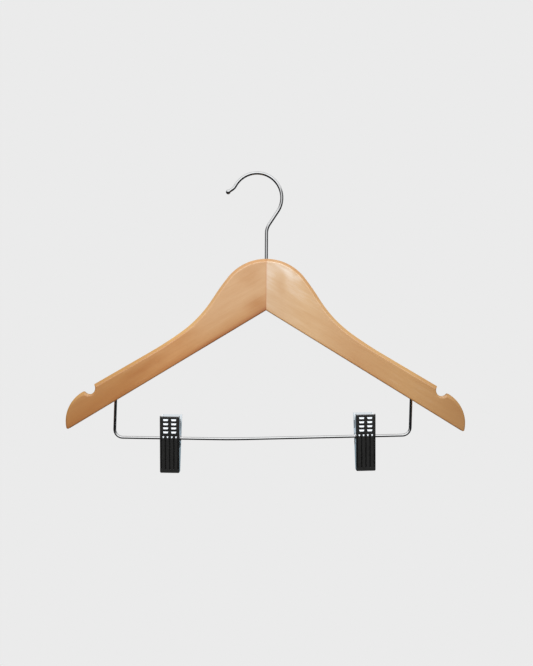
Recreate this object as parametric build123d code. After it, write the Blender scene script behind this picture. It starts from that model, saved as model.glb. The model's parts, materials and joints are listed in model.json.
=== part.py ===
from build123d import *
import math
import os

# Skirt hanger: two flat wooden arms glued at the middle, a wire hook that turns in the
# joint, a bent wire bar below the arms and two sprung clips that slide on the bar.
# Millimetres, +Z up, front towards -Y. The origin is where the hook rests on a rail.

# Hook wire
hook_wire = 3.6
loop_radius = 27.7
loop_end_angle = 152.3
lean_angle = 33.1
stem_offset = 10.8
neck_bend_radius = 18.1
tip_bend_radius = 9.1
tip_turn = 28.0
tip_run = 5.9
ball_diameter = 5.2

# Hook's seat in the joint
stem_depth = 28.0
stem_clearance = 0.1
retainer_diameter = 8.0
retainer_height = 3.0
retainer_clearance = 0.3
seat_clearance = 0.05
hole_end_clearance = 0.4

# Wooden arms: the upper edge is a row of arcs, each ending at its own angle of fall
dome_top = -94.4
half_width = 222.5
wood_thickness = 12.0
dome_radius = 54.5
dome_end_angle = 52.0
shoulder_radius = 285.0
shoulder_end_angle = 57.8
neck_radius = 138.0
neck_end_angle = 35.5
flare_radius = 445.0
arm_angle = 30.3
apex_drop = 57.4
underside_angle = 31.3
tip_radius = 37.2
tip_corner_radius = 1.8
notch_radius = 7.0
notch_inset = 25.4
notch_step = 2.0
notch_sink = 1.05
notch_flare = 2.4
notch_lip_radius = 1.0
bevel_width = 3.5
bevel_depth = 3.0
bevel_edge_radius = 2.6
tip_bevel_width = 4.3
tip_bevel_foot_width = 1.4
edge_radius = 1.2

# Dowel across the joint
dowel_diameter = 6.0
dowel_length = 30.0
dowel_drop = 43.0

# Trouser bar: two leaning legs and two straight flanks that meet in a long shallow arc
bar_wire = 3.2
bar_leg_inset = 57.1
bar_drop = 198.3
bar_shift = -3.45
bar_tilt = 0.75
bar_corner_radius = 9.0
bar_sag = 3.05
bar_low_place = -35.0
bar_middle_half = 15.0
leg_lean = 2.2
leg_seat_depth = 20.0

# Clips: places along the bar, measured from the leg on their side
left_clip_inset = 62.9
right_clip_inset = 50.7
jaw_width = 21.7
jaw_tilt = 9.1
face_offset = 10.37
tab_length = 27.1
tip_length = 37.2
steel = 0.8
flange_top_depth = 2.0
flange_root_depth = 3.5
flange_lower_depth = 5.4
flange_tip_depth = 1.9
ear_rim = 1.84
ear_foot = 7.5
ear_window = 9.5
ear_gap = 0.15

# Grip covers: windows over raised steel bars, small windows over studs, and ribs
cover_thickness = 1.5
cover_lip = 0.8
cover_corner_radius = 1.5
cover_edge_radius = 0.5
grid_pitch = 4.68
window_rows = 4
window_top_width = 6.3
window_bottom_width = 4.5
window_height = 2.4
window_column = 4.45
first_row_drop = 3.55
window_gap = 0.2
raised_low = 0.2
raised_high = 1.3
stud_width = 2.5
stud_foot_width = 0.9
stud_height = 2.2
stud_row_level = 4.1
rib_count = 4
groove_width = 1.2
groove_depth = 0.8
groove_edge_radius = 0.3
groove_top_level = 2.4
groove_bottom_margin = 4.4

# Rubber pads
pad_side_gap = 0.35
pad_height = 15.5
pad_foot_margin = 0.9
pad_meeting_gap = 0.15
pad_tooth_pitch = 2.2
pad_tooth_depth = 0.5

# Pivot sleeve and torsion spring
bar_running_clearance = 0.08
sleeve_wall = 0.6
ear_running_clearance = 0.08
sleeve_head_overhang = 1.1
sleeve_head_thickness = 0.5
sleeve_end_gap = 0.15
spring_wire = 1.2
spring_pitch = 1.7
spring_full_turns = 4
spring_bore_gap = 0.5
spring_leg_height = 15.0
spring_leg_gap = 0.3
gap_sample_step = 0.25

# One overrun for every cut that passes through a face
overrun = 1.0

stem_bottom = dome_top - stem_depth
notch_offset = half_width - notch_inset
bar_half_span = half_width - bar_leg_inset
bar_level = dome_top - bar_drop
left_clip_place = left_clip_inset - bar_half_span
right_clip_place = bar_half_span - right_clip_inset
sleeve_bore_radius = bar_wire / 2 + bar_running_clearance
sleeve_radius = sleeve_bore_radius + sleeve_wall
ear_hole_radius = sleeve_radius + ear_running_clearance
ear_radius = ear_hole_radius + ear_rim
sleeve_head_radius = sleeve_radius + sleeve_head_overhang
plate_out = cover_thickness - face_offset
plate_in = plate_out + steel
plate_drop = tip_length - cover_lip


def cosine(degrees):
    return math.cos(math.radians(degrees))


def sine(degrees):
    return math.sin(math.radians(degrees))


def tangent(degrees):
    return math.tan(math.radians(degrees))


def block(x_low, x_high, y_low, y_high, z_low, z_high):
    centre = Pos((x_low + x_high) / 2, (y_low + y_high) / 2, (z_low + z_high) / 2)
    return centre * Box(x_high - x_low, y_high - y_low, z_high - z_low)


def rod_x(radius, x_low, x_high):
    return Pos((x_low + x_high) / 2, 0, 0) * Rot(0, 90, 0) * Cylinder(radius, x_high - x_low)


def rod_z(radius, z_low, z_high):
    return Pos(0, 0, (z_low + z_high) / 2) * Cylinder(radius, z_high - z_low)


def prism_x(points, x_low, x_high):
    """Solid with a side outline of (y, z) points, from x_low to x_high."""
    corners = [Vector(x_low, y, z) for y, z in points]
    return extrude(make_face(Polyline(*corners, close=True)), amount=x_high - x_low, dir=(1, 0, 0))


def prism_y(points, y_low, y_high):
    """Solid with a front outline of (x, z) points, from y_low to y_high."""
    corners = [Vector(x, y_low, z) for x, z in points]
    return extrude(make_face(Polyline(*corners, close=True)), amount=y_high - y_low, dir=(0, 1, 0))


def wire_tube(path, diameter):
    section = Plane(origin=path @ 0, z_dir=path % 0) * Circle(diameter / 2)
    return sweep(section, path=path)


# Hook

def hook_heading(degrees):
    return Vector(cosine(degrees), 0, sine(degrees))


def hook_path():
    """Centre line from the stem's foot, round the loop, to the middle of the tip ball."""
    loop_centre = Vector(0, 0, hook_wire / 2 - loop_radius)
    loop_start = loop_centre + hook_heading(-lean_angle) * loop_radius
    loop_top = loop_centre + hook_heading(90) * loop_radius
    loop_end = loop_centre + hook_heading(loop_end_angle) * loop_radius
    bend_across = neck_bend_radius * (1 - cosine(lean_angle))
    lean_length = (loop_start.X - stem_offset - bend_across) / sine(lean_angle)
    lean_start = loop_start - hook_heading(90 - lean_angle) * lean_length
    bend_start = Vector(stem_offset, 0, lean_start.Z - neck_bend_radius * sine(lean_angle))
    stem_foot = Vector(stem_offset, 0, stem_bottom)
    tip_heading = loop_end_angle + 90 - tip_turn
    tip_bend_centre = loop_end + hook_heading(loop_end_angle) * tip_bend_radius
    tip_bend_end = tip_bend_centre - hook_heading(tip_heading - 90) * tip_bend_radius
    tip_end = tip_bend_end + hook_heading(tip_heading) * tip_run
    return Wire(
        [
            Edge.make_line(stem_foot, bend_start),
            Edge.make_tangent_arc(bend_start, Vector(0, 0, 1), lean_start),
            Edge.make_line(lean_start, loop_start),
            Edge.make_three_point_arc(loop_start, loop_centre + Vector(loop_radius, 0, 0), loop_top),
            Edge.make_tangent_arc(loop_top, Vector(-1, 0, 0), loop_end),
            Edge.make_tangent_arc(loop_end, hook_heading(loop_end_angle + 90), tip_bend_end),
            Edge.make_line(tip_bend_end, tip_end),
        ]
    )


def hook():
    return wire_tube(hook_path(), hook_wire)


def hook_tip_ball():
    """Ball with a blind hole in which the wire's end sits."""
    path = hook_path()
    end = Plane(origin=path @ 1, z_dir=path % 1)
    ball = end * Sphere(ball_diameter / 2)
    seat_radius = hook_wire / 2 + seat_clearance
    return ball - end * rod_z(seat_radius, -ball_diameter, seat_clearance)


def hook_retainer():
    """Collar pressed on the stem's foot, too wide to pass up through the bore."""
    collar = rod_z(retainer_diameter / 2, stem_bottom, stem_bottom + retainer_height)
    bore = rod_z(hook_wire / 2 + seat_clearance, stem_bottom - overrun, dome_top)
    return Pos(stem_offset, 0, 0) * (collar - bore)


# Wooden arms

def slope_arc(start, start_slope, radius, end_slope):
    """Arc that falls away to the right while its slope changes from one angle to the other."""
    side = 1 if end_slope > start_slope else -1

    def reach(slope):
        across = side * radius * (sine(slope) - sine(start_slope))
        down = side * radius * (cosine(start_slope) - cosine(slope))
        return start + Vector(across, 0, -down)

    end = reach(end_slope)
    return Edge.make_three_point_arc(start, reach((start_slope + end_slope) / 2), end), end


def upper_line(across, arm_start):
    """Height of the arm's straight upper edge at a distance from the joint."""
    return arm_start.Z - (across - arm_start.X) * tangent(arm_angle)


def underside_level(across):
    """Height of the arm's straight underside at a distance from the joint."""
    return -apex_drop - across * tangent(underside_angle)


def tip_foot(tip_centre):
    """Where the round tip meets the straight underside, on the outer side."""
    along = Vector(cosine(underside_angle), 0, -sine(underside_angle))
    apex = Vector(0, 0, -apex_drop)
    to_centre = tip_centre - apex
    middle = to_centre.dot(along)
    short_side = (to_centre - along * middle).length
    return apex + along * (middle + math.sqrt(tip_radius**2 - short_side**2))


def right_arm_outline():
    """The right arm's upper and outer edges, its tip's points and the middle of its notch."""
    edges = []
    point = Vector(0, 0, 0)
    slope = 0.0
    runs = [
        (dome_radius, dome_end_angle),
        (shoulder_radius, shoulder_end_angle),
        (neck_radius, neck_end_angle),
        (flare_radius, arm_angle),
    ]
    for radius, end_slope in runs:
        edge, point = slope_arc(point, slope, radius, end_slope)
        edges.append(edge)
        slope = end_slope
    shelf = Vector(notch_offset, 0, upper_line(notch_offset, point))
    edges.append(Edge.make_line(point, shelf))
    tip_across = half_width - tip_radius
    tip_start = shelf - Vector(0, 0, notch_step)
    tip_rise = math.sqrt(tip_radius**2 - (notch_offset - tip_across) ** 2)
    tip_centre = Vector(tip_across, 0, tip_start.Z - tip_rise)
    foot = tip_foot(tip_centre)
    apex = Vector(0, 0, -apex_drop)
    outer = [
        Edge.make_line(shelf, tip_start),
        Edge.make_three_point_arc(tip_start, tip_centre + Vector(tip_radius, 0, 0), foot),
        Edge.make_line(foot, apex),
        Edge.make_line(apex, Vector(0, 0, 0)),
    ]
    return edges, outer, (tip_centre, tip_start, foot), shelf - Vector(0, 0, notch_sink)


def on_broad_face(edge):
    """Whether the whole edge lies on the arm's front or back face."""
    return all(abs(abs((edge @ share).Y) - wood_thickness / 2) < seat_clearance for share in (0, 0.5, 1))


def flat_middle(edge):
    """An edge's middle, moved to the arm's middle plane."""
    middle = edge @ 0.5
    return Vector(middle.X, 0, middle.Z)


def flat_distance(edge, point):
    """Distance of an edge's middle from a point, seen from the front."""
    return (flat_middle(edge) - point).length


def off_upper_edge(edge, upper_edges):
    """Distance of an edge's middle from the arm's upper edge, seen from the front."""
    return min(upper.distance_to(flat_middle(edge)) for upper in upper_edges)


def broad_edges(arm, notch_centre):
    """The broad faces' edges, apart from those at the joint and in the notch."""
    return [
        edge
        for edge in arm.edges()
        if on_broad_face(edge)
        and (edge @ 0.5).X > seat_clearance
        and flat_distance(edge, notch_centre) > notch_radius + seat_clearance
    ]


def bevelled(arm, upper_edges):
    """The arm with a bevel along both sides of its upper edge."""
    for side in (0, -1):
        broad_face = arm.faces().sort_by(Axis.Y)[side]
        chosen = [
            edge
            for edge in broad_face.edges()
            if off_upper_edge(edge, upper_edges) < seat_clearance
        ]
        arm = chamfer(chosen, bevel_width, bevel_depth, reference=broad_face)
    return arm


def tip_bevel(tip_centre, tip_start, foot):
    """What a bevel round the tip, narrower towards the foot, takes off the arm's front half."""
    to_foot = (foot - tip_centre).normalized()
    opening = (tip_start - tip_centre).normalized().dot(to_foot)
    shift = (tip_bevel_width - tip_bevel_foot_width) / (1 - opening)
    inner_radius = tip_radius - tip_bevel_foot_width - shift
    reach = 2 * bevel_depth
    outer_radius = inner_radius + reach * bevel_width / bevel_depth
    core = Rot(-90, 0, 0) * Cone(inner_radius, outer_radius, reach)
    around = block(notch_offset, half_width + overrun, 0, reach, foot.Z - tip_radius, 0)
    cone = Pos(tip_centre + to_foot * shift + Vector(0, reach / 2, 0)) * core
    return Pos(0, -wood_thickness / 2, 0) * (around - cone)


def notch_cut():
    return Rot(90, 0, 0) * Cylinder(notch_radius, wood_thickness + overrun)


def notch_rounding():
    """Ring at each end of the notch that leaves its front and back edges round."""
    level = wood_thickness / 2 - notch_flare
    wide = notch_radius + notch_flare
    ring = Pos(0, 0, level + notch_flare / 2) * Cylinder(wide, notch_flare)
    ring -= Pos(0, 0, level) * Torus(wide, notch_flare)
    return Rot(90, 0, 0) * (ring + mirror(ring, about=Plane.XY))


def right_arm_blank():
    """Right arm before drilling, with the joint's upper end at the origin."""
    upper, outer, tip, notch_centre = right_arm_outline()
    arm = extrude(make_face(upper + outer), amount=wood_thickness / 2, dir=(0, 1, 0), both=True)
    arm = bevelled(arm, upper)
    corner = arm.edges().filter_by(Axis.Y).sort_by_distance(tip[2])[0]
    arm = fillet(corner, tip_corner_radius)
    front_cut = tip_bevel(*tip)
    arm -= front_cut
    arm -= mirror(front_cut, about=Plane.XZ)
    arm -= Pos(notch_centre) * notch_cut()
    wall = notch_radius + seat_clearance
    lips = [edge for edge in arm.edges().filter_by(Axis.Y) if flat_distance(edge, notch_centre) < wall]
    arm = fillet(lips, notch_lip_radius)

    def beside_bevel(edge):
        return off_upper_edge(edge, upper) < 2 * bevel_width and (edge @ 0.5).X < notch_offset

    soft = [edge for edge in broad_edges(arm, notch_centre) if beside_bevel(edge)]
    arm = fillet(soft, bevel_edge_radius)
    crisp = [edge for edge in broad_edges(arm, notch_centre) if not beside_bevel(edge)]
    arm = fillet(crisp, edge_radius)
    return arm - Pos(notch_centre) * notch_rounding()


def joint_cuts():
    """Bore, pocket and dowel hole, shared by both arms."""
    bore_radius = hook_wire / 2 + stem_clearance
    pocket_low = stem_bottom - retainer_clearance
    pocket_high = stem_bottom + retainer_height + retainer_clearance
    pocket_radius = retainer_diameter / 2 + retainer_clearance
    dowel_reach = dowel_length / 2 + hole_end_clearance
    bore = rod_z(bore_radius, pocket_low, dome_top + overrun)
    pocket = rod_z(pocket_radius, pocket_low, pocket_high)
    dowel_hole = rod_x(dowel_diameter / 2 + seat_clearance, -dowel_reach, dowel_reach)
    return [
        Pos(stem_offset, 0, 0) * bore,
        Pos(stem_offset, 0, 0) * pocket,
        Pos(stem_offset, 0, dome_top - dowel_drop) * dowel_hole,
    ]


def bar_place():
    return Pos(stem_offset + bar_shift, 0, bar_level) * Rot(0, -bar_tilt, 0)


def leg_height(side):
    """Height of one of the bar's leaning legs, up to its seat inside the arm."""
    foot_level = bar_level + side * bar_half_span * sine(bar_tilt)
    wood_level = dome_top + underside_level(abs(bar_shift + side * bar_half_span))
    closing = 1 + side * tangent(leg_lean) * tangent(underside_angle)
    return (wood_level - foot_level) / closing + leg_seat_depth


def leg_hole(side):
    radius = bar_wire / 2 + seat_clearance
    hole = rod_z(radius, 0, leg_height(side) / cosine(leg_lean) + hole_end_clearance)
    return bar_place() * Pos(side * bar_half_span, 0, 0) * Rot(0, leg_lean, 0) * hole


def arm(side):
    blank = right_arm_blank()
    if side < 0:
        blank = mirror(blank, about=Plane.YZ)
    solid = Pos(stem_offset, 0, dome_top) * blank
    for cut in joint_cuts() + [leg_hole(side)]:
        solid -= cut
    return solid


def joint_dowel():
    dowel = rod_x(dowel_diameter / 2, -dowel_length / 2, dowel_length / 2)
    return Pos(stem_offset, 0, dome_top - dowel_drop) * dowel


# Trouser bar

def flank_angle(side):
    """Fall of one of the bar's flanks towards its lowest point."""
    return math.degrees(math.atan(bar_sag / (bar_half_span - side * bar_low_place)))


def leg_end(side):
    height = leg_height(side)
    return (side * bar_half_span + height * tangent(leg_lean), 0, height)


def trouser_bar():
    middle_radius = bar_middle_half / tangent((flank_angle(-1) + flank_angle(1)) / 2)
    path = FilletPolyline(
        leg_end(-1),
        (-bar_half_span, 0, 0),
        (bar_low_place, 0, -bar_sag),
        (bar_half_span, 0, 0),
        leg_end(1),
        radius=[bar_corner_radius, middle_radius, bar_corner_radius],
    )
    return bar_place() * wire_tube(path, bar_wire)


def clip_place(place):
    """Where a clip sits: on one of the bar's straight flanks, square to it."""
    side = 1 if place > 0 else -1
    drop = (bar_half_span - abs(place)) * tangent(flank_angle(side))
    return bar_place() * Pos(place, 0, -drop) * Rot(0, -side * flank_angle(side), 0)


# Clip pieces, made for the front jaw, upright, with the pivot along X through the origin

def tapered_outline(top_width, bottom_width, height, x_middle, z_middle):
    z_high = z_middle + height / 2
    z_low = z_middle - height / 2
    return [
        (x_middle - top_width / 2, z_high),
        (x_middle + top_width / 2, z_high),
        (x_middle + bottom_width / 2, z_low),
        (x_middle - bottom_width / 2, z_low),
    ]


def window_places():
    """Each large window's and each stud's (top width, bottom width, height, x, z)."""
    places = []
    for row in range(window_rows):
        level = tab_length - first_row_drop - row * grid_pitch
        for side in (-1, 1):
            sizes = (window_top_width, window_bottom_width, window_height)
            places.append(sizes + (side * window_column, level))
    for rib in range(rib_count):
        across = (rib - (rib_count - 1) / 2) * grid_pitch
        places.append((stud_width, stud_foot_width, stud_height, across, stud_row_level))
    return places


def raised_bar(top_width, bottom_width, height, x_middle, z_middle):
    """Steel bar pressed out of the plate, low at its top and high at its foot."""
    outline = tapered_outline(top_width, bottom_width, height, x_middle, z_middle)
    bar = prism_y(outline, plate_out - raised_high, plate_out)
    z_high = z_middle + height / 2
    z_low = z_middle - height / 2
    wedge = prism_x(
        [
            (plate_out, z_high),
            (plate_out - raised_low, z_high),
            (plate_out - raised_high, z_low),
            (plate_out, z_low),
        ],
        x_middle - top_width,
        x_middle + top_width,
    )
    return bar & wedge


def ear(x_low):
    web = [
        (plate_out, ear_foot),
        (0, ear_radius),
        (0, -ear_radius),
        (plate_out, -ear_foot),
    ]
    return prism_x(web, x_low, x_low + steel) + rod_x(ear_radius, x_low, x_low + steel)


def flanges(x_low, window):
    upper = [
        (plate_out, tab_length),
        (plate_in + flange_top_depth, tab_length),
        (plate_in + flange_root_depth, window),
        (plate_out, window),
    ]
    lower = [
        (plate_out, -window),
        (plate_in + flange_lower_depth, -window),
        (plate_in + flange_tip_depth, -plate_drop),
        (plate_out, -plate_drop),
    ]
    return prism_x(upper, x_low, x_low + steel) + prism_x(lower, x_low, x_low + steel)


def jaw():
    """Pressed steel jaw: its left ear lies outside the other jaw's ear, its right ear inside."""
    half = jaw_width / 2
    solid = block(-half, half, plate_out, plate_in, -plate_drop, tab_length)
    solid += flanges(-half, ear_foot) + ear(-half)
    solid += flanges(half - steel, ear_window) + ear(half - 2 * steel - ear_gap)
    for place in window_places():
        solid += raised_bar(*place)
    return solid - rod_x(ear_hole_radius, -half - overrun, half + overrun)


def cover():
    """Moulded grip cover that lies on the plate, open over the raised bars and studs."""
    half = jaw_width / 2
    front = -face_offset
    solid = block(-half, half, front, plate_out, -tip_length, tab_length)
    low_corners = solid.edges().filter_by(Axis.Y).group_by(Axis.Z)[0]
    solid = fillet(low_corners, cover_corner_radius)
    solid = fillet(solid.faces().sort_by(Axis.Y)[0].edges(), cover_edge_radius)
    ribs_low = groove_bottom_margin - tip_length
    groove_edges_near = []
    for groove in range(rib_count + 1):
        across = (groove - rib_count / 2) * grid_pitch
        left = across - groove_width / 2
        right = across + groove_width / 2
        solid -= block(left, right, front - overrun, front + groove_depth, ribs_low, groove_top_level)
        groove_edges_near += [left, right]
    rims = [
        edge
        for edge in solid.edges().filter_by(Axis.Z)
        if abs((edge @ 0.5).Y - front) < groove_edge_radius
        and min(abs((edge @ 0.5).X - x) for x in groove_edges_near) < groove_edge_radius
    ]
    solid = fillet(rims, groove_edge_radius)
    for top_width, bottom_width, height, x_middle, z_middle in window_places():
        outline = tapered_outline(
            top_width + 2 * window_gap,
            bottom_width + 2 * window_gap,
            height + 2 * window_gap,
            x_middle,
            z_middle,
        )
        solid -= prism_y(outline, front - overrun, plate_out + overrun)
    return solid


def pad():
    """Wedge of rubber between the plate and the middle plane, toothed where it grips."""
    back_shift = plate_in / cosine(jaw_tilt)
    cover_foot = -face_offset * sine(jaw_tilt) - tip_length * cosine(jaw_tilt)
    z_low = cover_foot + pad_foot_margin
    z_high = z_low + pad_height
    outline = [(back_shift - z * tangent(jaw_tilt), z) for z in (z_high, z_low)]
    teeth = int(pad_height / pad_tooth_pitch)
    pitch = pad_height / teeth
    for tooth in range(teeth):
        z_start = z_low + tooth * pitch
        outline.append((-pad_meeting_gap - pad_tooth_depth, z_start))
        outline.append((-pad_meeting_gap, z_start + pitch / 2))
    outline.append((-pad_meeting_gap - pad_tooth_depth, z_high))
    half = jaw_width / 2 - steel - pad_side_gap
    return prism_x(outline, -half, half)


def sleeve():
    """Hollow rivet that both jaws turn on, with a head over each outer ear."""
    half = jaw_width / 2 + sleeve_end_gap
    end = half + sleeve_head_thickness
    body = rod_x(sleeve_radius, -end, end)
    body += rod_x(sleeve_head_radius, half, end) + rod_x(sleeve_head_radius, -end, -half)
    return body - rod_x(sleeve_bore_radius, -end - overrun, end + overrun)


# Torsion spring

def biarc(start, start_heading, end, end_heading):
    """Two tangent arcs from one point and heading to another."""
    span = end - start
    both = start_heading + end_heading
    fullness = 2 * (1 - start_heading.dot(end_heading))
    lean = span.dot(both)
    reach = (math.sqrt(lean**2 + fullness * span.dot(span)) - lean) / fullness
    first = start + start_heading * reach
    second = end - end_heading * reach
    joint = (first + second) / 2
    return [
        Edge.make_tangent_arc(start, start_heading, joint),
        Edge.make_tangent_arc(joint, (second - first).normalized(), end),
    ]


def spring_leg_lean(coil_radius):
    """Lean from upright of a leg that leaves the coil and ends just short of the tab."""
    plate_there = plate_in / cosine(jaw_tilt) - spring_leg_height * tangent(jaw_tilt)
    reach = -plate_there - spring_leg_gap - spring_wire / 2
    distance = math.hypot(reach, spring_leg_height)
    return math.degrees(math.atan2(reach, spring_leg_height) - math.asin(coil_radius / distance))


def spring_path():
    """Centre line: down the front leg, round the coil and up the rear leg."""
    radius = sleeve_radius + spring_bore_gap + spring_wire / 2
    lean = spring_leg_lean(radius)
    turn = 360 * spring_full_turns + 180 - 2 * lean
    length = spring_pitch * turn / 360
    rise = spring_pitch / (2 * math.pi)
    spans = 2 * spring_full_turns + 1

    def place(angle):
        across = length * ((angle - lean) / turn - 1 / 2)
        return Vector(across, -radius * cosine(angle), -radius * sine(angle))

    def heading(angle):
        return Vector(rise, radius * sine(angle), -radius * cosine(angle)).normalized()

    angles = [lean + turn * share / spans for share in range(spans + 1)]
    edges = []
    for first, second in zip(angles, angles[1:]):
        edges += biarc(place(first), heading(first), place(second), heading(second))
    reach_up = (spring_leg_height + radius * sine(lean)) / cosine(lean)
    leg_top = place(lean) - heading(lean) * reach_up
    other_top = place(angles[-1]) + heading(angles[-1]) * reach_up
    first_leg = Edge.make_line(leg_top, place(lean))
    last_leg = Edge.make_line(place(angles[-1]), other_top)
    return Wire([first_leg] + edges + [last_leg])


def least_gap(path, diameter):
    """Least clear distance of a wire to itself, measured on points along it."""
    steps = int(path.length / gap_sample_step)
    points = [path.position_at(step / steps) for step in range(steps + 1)]
    skip = int(math.pi * diameter / gap_sample_step)
    least = min(
        (points[j] - points[i]).length
        for i in range(steps + 1)
        for j in range(i + skip, steps + 1)
    )
    return least - diameter


def spring():
    return wire_tube(spring_path(), spring_wire)


def clip_nodes(name, place):
    """All pieces of one clip at their place on the bar."""
    at_front = clip_place(place)
    at_rear = at_front * Rot(0, 0, 180)
    pieces = {}
    for end, at_end in (("front", at_front), ("rear", at_rear)):
        leaned = at_end * Rot(jaw_tilt, 0, 0)
        pieces[f"{name}_{end}_jaw"] = leaned * jaw()
        pieces[f"{name}_{end}_cover"] = leaned * cover()
        pieces[f"{name}_{end}_pad"] = at_end * pad()
    pieces[f"{name}_sleeve"] = at_front * sleeve()
    pieces[f"{name}_spring"] = at_front * spring()
    return pieces


def all_nodes():
    nodes = {
        "left_arm": arm(-1),
        "right_arm": arm(1),
        "joint_dowel": joint_dowel(),
        "hook": hook(),
        "hook_tip_ball": hook_tip_ball(),
        "hook_retainer": hook_retainer(),
        "trouser_bar": trouser_bar(),
    }
    nodes.update(clip_nodes("left", left_clip_place))
    nodes.update(clip_nodes("right", right_clip_place))
    return nodes


os.makedirs("parts", exist_ok=True)
for node, solid in all_nodes().items():
    export_step(solid, f"parts/{node}.step")
print("least gap of the spring wire to itself", round(least_gap(spring_path(), spring_wire), 3))
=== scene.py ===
import json
import math

import bpy
from mathutils import Matrix, Vector


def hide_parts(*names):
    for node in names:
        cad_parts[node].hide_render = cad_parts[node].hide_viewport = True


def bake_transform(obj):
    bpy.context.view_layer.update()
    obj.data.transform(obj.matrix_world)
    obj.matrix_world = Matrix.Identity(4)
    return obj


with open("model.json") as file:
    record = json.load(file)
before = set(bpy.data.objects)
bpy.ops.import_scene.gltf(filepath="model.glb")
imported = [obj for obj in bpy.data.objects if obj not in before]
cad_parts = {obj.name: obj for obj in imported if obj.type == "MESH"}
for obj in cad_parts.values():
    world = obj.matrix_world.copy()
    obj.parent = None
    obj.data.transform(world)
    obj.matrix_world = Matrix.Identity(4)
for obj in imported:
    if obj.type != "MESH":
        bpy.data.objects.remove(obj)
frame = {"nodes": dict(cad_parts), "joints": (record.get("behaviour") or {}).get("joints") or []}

# The skirt hanger's finishes, springs, studio and camera. Metres, the frame's own axes:
# +X to the hanger's right, +Y to its back, +Z up, origin where the hook rests on a rail.

MM = 0.001
CIRCLE = 2 * math.pi
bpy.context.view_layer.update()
SCENE = bpy.context.scene

# Pieces of bright wire, and the sides that have a clip
BRIGHT_WIRES = ("hook", "hook_tip_ball", "trouser_bar")
CLIPS = ("left", "right")


# Shader nodes

def rgb(red, green, blue):
    return (red, green, blue, 1.0)


class Graph:
    """A node tree with short calls that add nodes and link them."""

    # Colour sockets of the Mix node
    MIX_FIRST = 6
    MIX_SECOND = 7
    MIX_RESULT = 2

    def __init__(self, tree):
        self.tree = tree

    def add(self, kind, **settings):
        node = self.tree.nodes.new(kind)
        for name, value in settings.items():
            setattr(node, name, value)
        return node

    def feed(self, socket, value):
        """Links an output to a socket, or writes a plain value on it; None leaves it alone."""
        if isinstance(value, bpy.types.NodeSocket):
            self.tree.links.new(value, socket)
        elif value is not None:
            socket.default_value = value

    def fill(self, node, values):
        """Feeds a node's inputs, called by name or number."""
        for name, value in values.items():
            self.feed(node.inputs[name], value)

    def math(self, operation, first, second=None):
        node = self.add("ShaderNodeMath", operation=operation)
        self.fill(node, {0: first, 1: second})
        return node.outputs[0]

    def chain(self, operation, values):
        """One math operation along a row of values."""
        result = values[0]
        for value in values[1:]:
            result = self.math(operation, result, value)
        return result

    def times(self, *values):
        return self.chain("MULTIPLY", values)

    def plus(self, *values):
        return self.chain("ADD", values)

    def most(self, *values):
        return self.chain("MAXIMUM", values)

    def span(self, value, low, high, to_low=0.0, to_high=1.0):
        """Smooth step from to_low to to_high while the value goes from low to high."""
        node = self.add("ShaderNodeMapRange", interpolation_type="SMOOTHSTEP")
        for socket, number in zip(node.inputs, (value, low, high, to_low, to_high)):
            self.feed(socket, number)
        return node.outputs[0]

    def mix(self, share, first, second, blend="MIX"):
        node = self.add("ShaderNodeMix", data_type="RGBA", blend_type=blend)
        self.fill(node, {0: share, self.MIX_FIRST: first, self.MIX_SECOND: second})
        return node.outputs[self.MIX_RESULT]

    def apart(self, vector):
        """A vector's three coordinates."""
        node = self.add("ShaderNodeSeparateXYZ")
        self.feed(node.inputs[0], vector)
        return node.outputs

    def where(self, kind):
        """An output of Texture Coordinate: Object, Normal or Generated."""
        return self.add("ShaderNodeTexCoord").outputs[kind]

    def noise(self, vector, scale, detail=2.0, roughness=0.5, distortion=0.0, output="Fac"):
        node = self.add("ShaderNodeTexNoise")
        self.fill(node, {
            "Vector": vector,
            "Scale": scale,
            "Detail": detail,
            "Roughness": roughness,
            "Distortion": distortion,
        })
        return node.outputs[output]

    def mapping(self, vector, rotation=(0, 0, 0), scale=(1, 1, 1)):
        node = self.add("ShaderNodeMapping")
        self.fill(node, {"Vector": vector, "Rotation": rotation, "Scale": scale})
        return node.outputs[0]

    def ramp(self, value, stops):
        """Colour along a value from 0 to 1, through (place, colour) stops."""
        node = self.add("ShaderNodeValToRGB")
        elements = node.color_ramp.elements
        for place, _ in stops[1:-1]:
            elements.new(place)
        for element, (place, colour) in zip(elements, stops):
            element.position = place
            element.color = colour
        self.feed(node.inputs[0], value)
        return node.outputs[0]

    def bump(self, height, strength, distance, normal=None):
        node = self.add("ShaderNodeBump")
        self.fill(node, {
            "Strength": strength,
            "Distance": distance,
            "Height": height,
            "Normal": normal,
        })
        return node.outputs[0]

    def rounded(self, radius):
        """Normal with the piece's sharp edges softened."""
        node = self.add("ShaderNodeBevel", samples=4)
        self.fill(node, {"Radius": radius})
        return node.outputs[0]


def new_material(name):
    """A node material with its Principled shader."""
    material = bpy.data.materials.new(name)
    material.use_nodes = True
    graph = Graph(material.node_tree)
    graph.tree.nodes.clear()
    shader = graph.add("ShaderNodeBsdfPrincipled")
    output = graph.add("ShaderNodeOutputMaterial")
    graph.fill(output, {"Surface": shader.outputs[0]})
    return material, graph, shader


def dress(nodes, material):
    for name in nodes:
        for place in frame["nodes"][name].material_slots:
            place.material = material


# Wood

# Arms: the joint's place across, the underside's apex, the underside's fall, the grain's fall
# and how far an arm reaches from the joint
JOINT_X = 10.8 * MM
APEX_Z = -151.8 * MM
UNDERSIDE_FALL = math.radians(31.3)
GRAIN_FALL = math.radians(30.8)
ARM_REACH = 222.5 * MM

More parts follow.
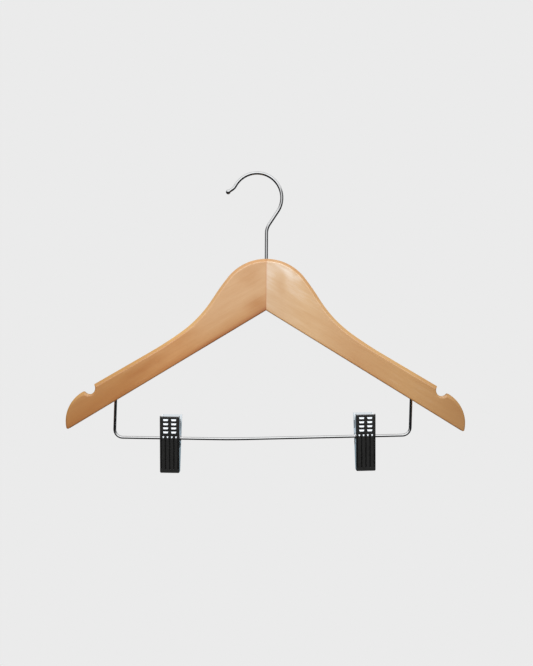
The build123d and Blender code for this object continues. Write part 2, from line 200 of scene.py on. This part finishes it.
# Layers of the grain: scale along and across it, the noise's detail, roughness and distortion,
# and the noise's range with the tone at its ends, where more than 0 is deeper than plain wood
GRAIN = {
    "drift": ((16, 60, 70), (3.0, 0.55, 0.4), (0.3, 0.7, -0.06, 0.22)),
    "streaks": ((26, 170, 260), (3.0, 0.6, 0.5), (0.3, 0.72, -0.05, 0.17)),
    "lines": ((45, 700, 950), (2.0, 0.6, 0.3), (0.35, 0.7, -0.04, 0.09)),
    "flecks": ((420, 1500, 2200), (2.0, 0.6, 0.0), (0.5, 0.72, 0.0, 0.14)),
}
DEEP_TINT = rgb(0.83, 0.67, 0.46)
# Pale tint and its share: paler grain, and the painted highlight of the clouds with a negative amount.
PALE_GRAIN_AND_HIGHLIGHT_TINT = rgb(0.93, 0.85, 0.76)
PALE_GRAIN_AND_HIGHLIGHT_SHARE = 0.6

# Clouds: where their fade starts, and the scale and reach of the noise that bends their rims
CLOUD_CORE = 0.1
WANDER_SCALE = 90.0
WANDER_REACH = (7 * MM, 0, 7 * MM)

# Distances from the joint between which the underside's painted shade and the bevel's painted tint
# change
UNDERSIDE_SHADE_CHANGE = (55 * MM, 130 * MM)
BEVEL_CHANGE = (30 * MM, 100 * MM)

# Upper bevel, which gets a painted tint: where the normal's share across the wood falls off, and its
# share upwards rises
BEVEL_ACROSS = (0.77, 0.89)
BEVEL_UPWARDS = (0.0, 0.1)

# Glue seam: its tint, how strong it is and between which distances from the joint it fades
SEAM_TINT = rgb(0.86, 0.62, 0.5)
SEAM_SHARE = 0.5
SEAM_FADE = (0.2 * MM, 1.1 * MM)

# Fine relief of the lacquer, and how much the grain's lines count in it beside the flecks
LACQUER_RELIEF = 0.05
LINES_SHARE = 0.4

# Depths of surface relief
SHALLOW = 0.01 * MM
MIDDLING = 0.02 * MM
DEEP = 0.05 * MM

# Each arm's look. Stops: colours from the joint to the tip, paler near the joint partly as painted
# sheen. Rims: the bevel's painted tint near the joint and further out. Underside shade bands:
# painted shade along the underside, each with its depth in mm, tint and share left on the arm's
# outer half. Clouds and highlights: x, z, reach along each axis in mm, turn, and how much they
# deepen; the pale ones on the right dome are a painted highlight along its bevel.
ARM_LOOKS = {
    "right": {
        "stops": [
            (0.0, rgb(0.63, 0.42, 0.245)),
            (0.2, rgb(0.635, 0.4, 0.2)),
            (0.45, rgb(0.565, 0.315, 0.135)),
            (0.7, rgb(0.55, 0.305, 0.12)),
            (1.0, rgb(0.43, 0.218, 0.075)),
        ],
        "rims": (rgb(0.84, 0.7, 0.52), rgb(0.98, 1.0, 0.86)),
        "underside_shade_bands": [(3.0, rgb(0.92, 0.8, 0.62), 0.8)],
        "clouds_and_highlights": [
            (31, -120, 9, 24, 0.1, 0.3),
            # These four, with negative amounts, are a painted highlight along the right dome's bevel.
            (22, -104, 36, 16, -0.3, -0.35),
            (39, -107, 26, 7, -0.65, -0.6),
            (16, -114, 9, 24, 0.0, -0.3),
            (46, -122, 26, 16, -0.7, -0.35),
            (120, -212, 60, 7, -0.54, 0.12),
        ],
    },
    "left": {
        "stops": [
            (0.0, rgb(0.6, 0.355, 0.172)),
            (0.25, rgb(0.62, 0.37, 0.185)),
            (0.45, rgb(0.62, 0.335, 0.142)),
            (0.7, rgb(0.505, 0.242, 0.078)),
            (1.0, rgb(0.48, 0.236, 0.078)),
        ],
        "rims": (rgb(0.93, 0.86, 0.72), rgb(1.0, 1.06, 0.84)),
        "underside_shade_bands": [
            (6.0, rgb(0.72, 0.5, 0.32), 0.3),
            (12.0, rgb(0.92, 0.84, 0.72), 0.3),
            (30.0, rgb(0.9, 0.78, 0.6), 1.0),
        ],
        "clouds_and_highlights": [
            (-2, -112, 18, 18, 0.5, 0.4),
            (2, -142, 20, 13, 0.4, 0.62),
            (-26, -122, 20, 10, 0.9, -0.15),
            (-122, -213, 40, 7, 0.54, 0.5),
            (-80, -181, 30, 7, 0.54, 0.3),
        ],
    },
}


def cloud(graph, place, x, z, reach_x, reach_z, turn):
    """Soft patch round a point of the arm's broad faces: 1 at its middle, 0 outside."""
    across, _, up = graph.apart(place)
    off_x = graph.math("SUBTRACT", across, x)
    off_z = graph.math("SUBTRACT", up, z)
    squares = []
    for reach, share_x, share_z in (
        (reach_x, math.cos(turn), math.sin(turn)),
        (reach_z, -math.sin(turn), math.cos(turn)),
    ):
        off = graph.plus(graph.times(off_x, share_x / reach), graph.times(off_z, share_z / reach))
        squares.append(graph.times(off, off))
    distance = graph.math("SQRT", graph.plus(*squares))
    return graph.span(distance, CLOUD_CORE, 1.0, 1.0, 0.0)


def clouded(graph, place, tone, clouds_and_highlights):
    """The tone with its patches added, whose rims wander a little; patches with a negative amount make
    it paler, and those on the right dome are a painted highlight.
    """
    wander = graph.noise(place, WANDER_SCALE, output="Color")
    shift = graph.add("ShaderNodeVectorMath", operation="MULTIPLY_ADD")
    graph.fill(shift, {0: wander, 1: WANDER_REACH, 2: place})
    for x, z, reach_x, reach_z, turn, amount in clouds_and_highlights:
        patch = cloud(graph, shift.outputs[0], x * MM, z * MM, reach_x * MM, reach_z * MM, turn)
        tone = graph.plus(tone, graph.times(patch, amount))
    return tone


def beech(name, side, stops, rims, underside_shade_bands, clouds_and_highlights):
    """Lacquered beech whose grain runs along one arm; side is 1 for the right arm, -1 for the left."""
    material, graph, shader = new_material(name)
    place = graph.where("Object")
    across, _, up = graph.apart(place)
    out = graph.times(graph.math("SUBTRACT", across, JOINT_X), side)
    fall = graph.times(out, math.tan(UNDERSIDE_FALL))
    height = graph.times(graph.plus(up, -APEX_Z, fall), math.cos(UNDERSIDE_FALL))

    along = graph.mapping(place, rotation=(0, -side * GRAIN_FALL, 0))
    layers = {}
    tones = []
    for layer, (scale, noise, tone_range) in GRAIN.items():
        layers[layer] = graph.noise(graph.mapping(along, scale=scale), 1.0, *noise)
        tones.append(graph.span(layers[layer], *tone_range))
    tone = clouded(graph, place, graph.plus(*tones), clouds_and_highlights)

    # Colour along the arm; the paler colour near the joint is partly painted sheen.
    colour = graph.ramp(graph.math("DIVIDE", out, ARM_REACH), stops)
    deepened = graph.math("MINIMUM", graph.most(tone, 0.0), 1.0)
    colour = graph.mix(deepened, colour, DEEP_TINT, "MULTIPLY")
    # Where the tone is below 0 the colour turns pale: paler grain, and the painted highlight of the
    # pale clouds.
    paled_and_highlit = graph.times(graph.most(graph.times(tone, -1.0), 0.0), PALE_GRAIN_AND_HIGHLIGHT_SHARE)
    colour = graph.mix(paled_and_highlit, colour, PALE_GRAIN_AND_HIGHLIGHT_TINT)

    # Painted shade in bands along the underside, each fading to its share on the arm's outer half.
    for depth, tint, outer_share in underside_shade_bands:
        underside_shade_mask = graph.span(height, 0.0, depth * MM, 1.0, 0.0)
        near_joint = graph.span(out, *UNDERSIDE_SHADE_CHANGE, 1.0, outer_share)
        colour = graph.mix(graph.times(underside_shade_mask, near_joint), colour, tint, "MULTIPLY")
    # Painted tint on the upper bevel, chosen by which way the surface faces: darker near the joint,
    # where it takes the stops' painted sheen off the bevel, and yellower further out.
    _, to_back, to_top = graph.apart(graph.where("Normal"))
    slant = graph.span(graph.math("ABSOLUTE", to_back), *BEVEL_ACROSS, 1.0, 0.0)
    on_bevel = graph.times(slant, graph.span(to_top, *BEVEL_UPWARDS))
    painted_bevel_tint = graph.mix(graph.span(out, *BEVEL_CHANGE), *rims)
    colour = graph.mix(on_bevel, colour, painted_bevel_tint, "MULTIPLY")
    seam = graph.span(out, *SEAM_FADE, SEAM_SHARE, 0.0)
    colour = graph.mix(seam, colour, SEAM_TINT, "MULTIPLY")

    relief = graph.plus(graph.times(layers["lines"], LINES_SHARE), layers["flecks"])
    graph.fill(shader, {
        "Base Color": colour,
        "Roughness": graph.span(layers["streaks"], 0.3, 0.7, 0.36, 0.43),
        "Coat Weight": 0.3,
        "Coat Roughness": 0.24,
        "Normal": graph.bump(relief, LACQUER_RELIEF, SHALLOW),
    })
    return material


def dowel_wood(name, colour, deep):
    """Bare wood with its grain along X."""
    material, graph, shader = new_material(name)
    along = graph.mapping(graph.where("Object"), scale=(60, 900, 900))
    grain = graph.noise(along, 1.0, 3.0, 0.6)
    graph.fill(shader, {
        "Base Color": graph.mix(grain, colour, deep),
        "Roughness": 0.7,
        "Normal": graph.bump(grain, 0.3, DEEP),
    })
    return material


def dress_wood():
    """Each arm's colour runs from pale at the joint to deeper at its tip, the pale part partly painted
    sheen.
    """
    for name, side in (("right", 1), ("left", -1)):
        dress([f"{name}_arm"], beech(f"beech_{name}", side, **ARM_LOOKS[name]))
    dowel = dowel_wood("beech_dowel", rgb(0.6, 0.4, 0.22), rgb(0.5, 0.3, 0.15))
    dress(["joint_dowel"], dowel)


# Metal, plastic and rubber

# How far sharp edges look rounded
JAW_EDGES = 0.2 * MM
TURNED_EDGES = 0.15 * MM
COVER_EDGES = 0.2 * MM

# Depth to which a cover's grooves get painted shade, and the colour of that painted shade
GROOVE_SHADE_REACH = 2.2 * MM
GROOVE_SHADE_COLOUR = rgb(0.002, 0.0018, 0.0016)


def dimmed(colour, share):
    return rgb(*(share * level for level in colour[:3]))


def bright_metal(name, colour, roughness, scratches, edges):
    """Plated steel with faint rubbed patches; edges is how far its sharp edges look rounded."""
    material, graph, shader = new_material(name)
    place = graph.where("Object")
    rubbed = graph.noise(place, 160.0, 4.0, 0.6)
    fine = graph.noise(place, 2600.0, 2.0, 0.5)
    normal = graph.rounded(edges) if edges else None
    graph.fill(shader, {
        "Base Color": graph.mix(graph.span(rubbed, 0.35, 0.75), colour, dimmed(colour, 0.93)),
        "Metallic": 1.0,
        "Roughness": graph.span(rubbed, 0.3, 0.75, roughness * 0.7, roughness * 1.4),
        "Normal": graph.bump(fine, scratches, SHALLOW, normal),
    })
    return material


def drawn_steel(name, colour, roughness):
    """Dull steel with fine rings from drawing or turning."""
    material, graph, shader = new_material(name)
    place = graph.where("Object")
    rings = graph.noise(graph.mapping(place, scale=(2400, 300, 300)), 1.0, 3.0, 0.6)
    stains = graph.noise(place, 240.0, 3.0, 0.6)
    graph.fill(shader, {
        "Base Color": graph.mix(graph.span(stains, 0.4, 0.75), colour, dimmed(colour, 0.8)),
        "Metallic": 1.0,
        "Roughness": graph.span(rings, 0.3, 0.7, roughness * 0.8, roughness * 1.25),
        "Normal": graph.bump(rings, 0.25, MIDDLING, graph.rounded(TURNED_EDGES)),
    })
    return material


def moulded_plastic(name, colour, roughness):
    """Glossy moulded plastic with a faint orange peel, and painted shade that darkens it in its
    grooves.
    """
    material, graph, shader = new_material(name)
    place = graph.where("Object")
    peel = graph.noise(place, 1400.0, 2.0, 0.5)
    wear = graph.noise(place, 220.0, 3.0, 0.6)
    # Painted shade: the colour turns darker where ambient occlusion finds the grooves.
    groove_shade = graph.add("ShaderNodeAmbientOcclusion", samples=8, only_local=True)
    graph.fill(groove_shade, {"Distance": GROOVE_SHADE_REACH})
    unshaded_share = graph.span(groove_shade.outputs["AO"], 0.45, 0.95)
    graph.fill(shader, {
        "Base Color": graph.mix(unshaded_share, GROOVE_SHADE_COLOUR, colour),
        "Roughness": graph.span(wear, 0.3, 0.7, roughness * 0.8, roughness * 1.3),
        "Normal": graph.bump(peel, 0.15, MIDDLING, graph.rounded(COVER_EDGES)),
    })
    return material


def rubber(name, colour, worn):
    """Matt rubber with a fine grain."""
    material, graph, shader = new_material(name)
    grain = graph.noise(graph.where("Object"), 1800.0, 3.0, 0.6)
    graph.fill(shader, {
        "Base Color": graph.mix(grain, colour, worn),
        "Roughness": 0.75,
        "Normal": graph.bump(grain, 0.4, DEEP),
    })
    return material


def dress_rest():
    """Bright wires and jaws, dull turned pieces, black covers and pads."""
    dress(BRIGHT_WIRES, bright_metal("wire_chrome", rgb(0.88, 0.89, 0.9), 0.06, 0.03, 0))
    dress(["hook_retainer"], drawn_steel("turned_steel", rgb(0.6, 0.6, 0.62), 0.3))
    jaw_chrome = bright_metal("jaw_chrome", rgb(0.8, 0.85, 0.89), 0.1, 0.08, JAW_EDGES)
    steel = drawn_steel("plain_steel", rgb(0.6, 0.6, 0.62), 0.28)
    black = moulded_plastic("black_cover", rgb(0.022, 0.022, 0.0215), 0.3)
    pads = rubber("black_rubber", rgb(0.012, 0.012, 0.013), rgb(0.03, 0.03, 0.032))
    for clip in CLIPS:
        dress([f"{clip}_sleeve"], steel)
        for end in ("front", "rear"):
            dress([f"{clip}_{end}_jaw"], jaw_chrome)
            dress([f"{clip}_{end}_cover"], black)
            dress([f"{clip}_{end}_pad"], pads)


# Springs

# Coil and legs in the clip's own axes, as the CAD lays them, and the fineness of their mesh
COIL_RADIUS = 3.38 * MM
SPRING_WIRE_RADIUS = 0.6 * MM
SPRING_PITCH = 1.7 * MM
SPRING_TURNS = 4
SPRING_LEG_HEIGHT = 15.0 * MM
SPRING_LEG_REACH = 9.675 * MM
RINGS_PER_TURN = 36
RING_SIDES = 12


def put(name, data):
    """A new object of the scene with its mesh, lamp or camera."""
    piece = bpy.data.objects.new(name, data)
    SCENE.collection.objects.link(piece)
    return piece


def solid(name, vertices, faces):
    """A new mesh object."""
    mesh = bpy.data.meshes.new(name)
    mesh.from_pydata(vertices, [], faces)
    return put(name, mesh)


def spring_points():
    """Centre line from the front leg's top, round the coil, to the rear leg's top."""
    far = math.hypot(SPRING_LEG_REACH, SPRING_LEG_HEIGHT)
    lean = math.atan2(SPRING_LEG_REACH, SPRING_LEG_HEIGHT) - math.asin(COIL_RADIUS / far)
    turn = CIRCLE * SPRING_TURNS + math.pi - 2 * lean
    length = SPRING_PITCH * turn / CIRCLE
    rise = SPRING_PITCH / CIRCLE

    def coil_place(angle):
        across = length * ((angle - lean) / turn - 0.5)
        return Vector((across, -COIL_RADIUS * math.cos(angle), -COIL_RADIUS * math.sin(angle)))

    def heading(angle):
        way = Vector((rise, COIL_RADIUS * math.sin(angle), -COIL_RADIUS * math.cos(angle)))
        return way.normalized()

    rings = int(RINGS_PER_TURN * turn / CIRCLE)
    angles = [lean + turn * ring / rings for ring in range(rings + 1)]
    reach = (SPRING_LEG_HEIGHT + COIL_RADIUS * math.sin(lean)) / math.cos(lean)
    first = coil_place(angles[0]) - heading(angles[0]) * reach
    last = coil_place(angles[-1]) + heading(angles[-1]) * reach
    return [first] + [coil_place(angle) for angle in angles] + [last]


def tube(name, points, radius):
    """Round wire along a row of points, with closed ends."""
    headings = [(after - before).normalized() for before, after in zip(points, points[1:])]
    headings = [headings[0]] + [
        (before + after).normalized() for before, after in zip(headings, headings[1:])
    ] + [headings[-1]]
    vertices = []
    side = headings[0].orthogonal().normalized()
    for point, heading in zip(points, headings):
        side = (side - heading * side.dot(heading)).normalized()
        other = heading.cross(side)
        for step in range(RING_SIDES):
            angle = CIRCLE * step / RING_SIDES
            vertices.append(point + (side * math.cos(angle) + other * math.sin(angle)) * radius)
    faces = []
    for ring in range(len(points) - 1):
        for step in range(RING_SIDES):
            low = ring * RING_SIDES + step
            low_next = ring * RING_SIDES + (step + 1) % RING_SIDES
            faces.append((low, low_next, low_next + RING_SIDES, low + RING_SIDES))
    last = len(vertices) - RING_SIDES
    faces.append(tuple(reversed(range(RING_SIDES))))
    faces.append(tuple(range(last, last + RING_SIDES)))
    piece = solid(name, vertices, faces)
    for face in piece.data.polygons[:-2]:
        face.use_smooth = True
    return piece


def springs():
    """Each clip's spring: a coil round the clip's pivot with a front and a rear leg, in place of the
    CAD spring.
    """
    steel = drawn_steel("spring_steel", rgb(0.5, 0.51, 0.53), 0.25)
    joints = {joint["name"]: joint for joint in frame["joints"]}
    pieces = []
    for clip in CLIPS:
        swing = joints[f"{clip}_clip_swing"]
        pivot = Vector(swing["pos_m"])
        along = Vector(swing["axis"])
        back = Vector((0, 1, 0))
        up = along.cross(back)
        points = [
            pivot + along * point.x + back * point.y + up * point.z for point in spring_points()
        ]
        piece = tube(f"{clip}_torsion_spring", points, SPRING_WIRE_RADIUS)
        piece.data.materials.append(steel)
        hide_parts(f"{clip}_spring")
        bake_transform(piece)
        pieces.append(piece)
    return pieces


# Studio

# Floor below the hanger, fading out before it reaches the photograph's frame
FLOOR_Z = -0.72
FLOOR_RADIUS = 0.42
FLOOR_SIDES = 96
FLOOR_FADE = (0.2, 0.36)
FLOOR_COLOUR = rgb(0.69, 0.69, 0.69)
FLOOR_SPECKS = rgb(0.6, 0.6, 0.6)
FLOOR_SPECKS_SHARE = 0.06

# Backdrop as the camera sees it, in linear light
BACKDROP = rgb(0.8308, 0.8308, 0.8308)

# Room that bright metal mirrors: levels of its parts, and the paper's colour behind the object
CEILING_IN_FRONT = 0.98
CEILING_BEHIND = 0.35
STRIP_LEVEL = 0.9
LAMP_LEVEL = 1.35
SIDES_LEVEL = 0.1
DARK_LEVEL = 0.012
PAPER_COLOUR = rgb(0.3, 0.4, 0.46)

# Lamps, aimed at the hanger's middle: place, width, height and radiance. The strips only add
# shine.
AIM = (0.01, 0.0, -0.17)
LAMPS = {
    "softbox": ((0.0, -0.78, 0.76), 1.1, 0.34, 7.2),
    "near_lamp": ((0.1, -1.15, 0.04), 0.28, 0.28, 3.0),
    "rear_softbox": ((0.0, 0.8, 0.62), 1.1, 0.34, 5.0),
    "left_strip": ((-0.58, -0.83, 0.38), 0.5, 0.16, 8.0),
    "right_strip": ((0.6, -0.83, 0.38), 0.5, 0.16, 8.0),
}
SHINE_ONLY = ("left_strip", "right_strip")

# Photograph's width in pixels, and how the camera sees the hanger's middle plane
IMAGE_WIDTH = 533
SENSOR_WIDTH = 36.0
METRES_PER_PIXEL = 1.1197 * MM
CAMERA_DISTANCE = 0.909
CAMERA_X = 0.01145
CAMERA_Z = -0.17721
CAMERA_ROLL = math.radians(0.333)


def floor():
    """Pale round floor that fades out and keeps the hanger's shadow."""
    angles = [CIRCLE * step / FLOOR_SIDES for step in range(FLOOR_SIDES)]
    ring = [(FLOOR_RADIUS * math.cos(angle), FLOOR_RADIUS * math.sin(angle), 0) for angle in angles]
    piece = solid("floor", ring, [tuple(range(FLOOR_SIDES))])
    piece.location = (0, 0, FLOOR_Z)
    material, graph, shader = new_material("pale_floor")
    place = graph.where("Object")
    middle = graph.add("ShaderNodeVectorMath", operation="LENGTH")
    graph.feed(middle.inputs[0], place)
    specks = graph.times(graph.noise(place, 300.0, 3.0, 0.6), FLOOR_SPECKS_SHARE)
    graph.fill(shader, {
        "Alpha": graph.span(middle.outputs["Value"], *FLOOR_FADE, 1.0, 0.0),
        "Base Color": graph.mix(specks, FLOOR_COLOUR, FLOOR_SPECKS),
        "Roughness": 0.9,
    })
    piece.data.materials.append(material)
    piece.visible_glossy = False
    return piece


def mirrored_room(graph, across, back, up):
    """What bright metal shows, by direction.

    That is a lit ceiling, a strip and a lamp in front, paper behind and a dark room.
    """
    front = graph.times(back, -1.0)
    ceiling = graph.times(
        graph.span(up, 0.3, 0.6),
        graph.span(back, 0.0, 0.3, CEILING_IN_FRONT, CEILING_BEHIND),
    )
    strip = graph.times(
        graph.span(front, 0.7, 0.84),
        graph.span(up, -0.02, 0.05),
        graph.span(across, -0.62, -0.35),
        graph.span(across, 0.12, 0.42, 1.0, 0.0),
        STRIP_LEVEL,
    )
    lamp = graph.times(graph.span(front, 0.8, 0.88), graph.span(up, 0.26, 0.34), LAMP_LEVEL)
    sides = graph.times(graph.span(up, -0.06, 0.02), SIDES_LEVEL)
    level = graph.most(ceiling, strip, lamp, sides, DARK_LEVEL)
    paper = graph.times(graph.span(back, 0.93, 0.98), graph.span(up, -0.34, -0.2))
    return graph.mix(paper, level, PAPER_COLOUR)


def room_light(graph, back, up):
    """Soft light on the object, stronger from above and in front."""
    from_above = graph.span(up, -0.9, 0.9, 0.42, 0.88)
    from_front = graph.span(back, -1.0, 1.0, 1.08, 0.85)
    return graph.times(from_above, from_front)


def backdrop_world():
    """Pale backdrop for the camera, the mirrored room for shine and soft light for the rest."""
    world = bpy.data.worlds.new("studio")
    world.use_nodes = True
    SCENE.world = world
    graph = Graph(world.node_tree)
    graph.tree.nodes.clear()
    path = graph.add("ShaderNodeLightPath")
    across, back, up = graph.apart(graph.where("Generated"))

    def background(colour):
        node = graph.add("ShaderNodeBackground")
        graph.fill(node, {"Color": colour})
        return node.outputs[0]

    def choose(share, otherwise, chosen):
        node = graph.add("ShaderNodeMixShader")
        graph.fill(node, {0: share, 1: otherwise, 2: chosen})
        return node.outputs[0]

    paper = background(BACKDROP)
    mirrored = background(mirrored_room(graph, across, back, up))
    room = background(room_light(graph, back, up))
    inner = choose(path.outputs["Is Glossy Ray"], room, mirrored)
    output = graph.add("ShaderNodeOutputWorld")
    graph.fill(output, {"Surface": choose(path.outputs["Is Camera Ray"], inner, paper)})


def soft_lamp(name, place, width, height, radiance):
    """Rectangular lamp of a plain radiance, aimed at the hanger's middle."""
    lamp = bpy.data.lights.new(name, "AREA")
    lamp.shape = "RECTANGLE"
    lamp.size = width
    lamp.size_y = height
    lamp.energy = radiance * math.pi * width * height
    rig = put(name, lamp)
    rig.location = place
    rig.rotation_euler = (Vector(AIM) - Vector(place)).to_track_quat("-Z", "Y").to_euler()
    return rig


def lamps(own_pieces):
    """Lamps in front and behind, which leave the bright metal alone."""
    dull = bpy.data.collections.new("lit_by_lamps")
    for name, piece in frame["nodes"].items():
        if name not in BRIGHT_WIRES and not name.endswith("_jaw"):
            dull.objects.link(piece)
    for piece in own_pieces:
        dull.objects.link(piece)
    for name, (place, width, height, radiance) in LAMPS.items():
        rig = soft_lamp(name, place, width, height, radiance)
        rig.visible_diffuse = name not in SHINE_ONLY
        rig.light_linking.receiver_collection = dull


def camera():
    """Camera that frames the hanger's middle plane as the photograph does."""
    lens = bpy.data.cameras.new("camera")
    lens.sensor_fit = "HORIZONTAL"
    lens.sensor_width = SENSOR_WIDTH
    lens.lens = SENSOR_WIDTH * CAMERA_DISTANCE / (METRES_PER_PIXEL * IMAGE_WIDTH)
    rig = put("camera", lens)
    level = Matrix.Rotation(math.radians(90), 4, "X")
    roll = Matrix.Rotation(CAMERA_ROLL, 4, "Z")
    rig.matrix_world = Matrix.Translation((CAMERA_X, -CAMERA_DISTANCE, CAMERA_Z)) @ level @ roll
    SCENE.camera = rig


dress_wood()
dress_rest()
own_pieces = springs() + [floor()]
backdrop_world()
lamps(own_pieces)
camera()
SCENE.view_settings.view_transform = "Standard"
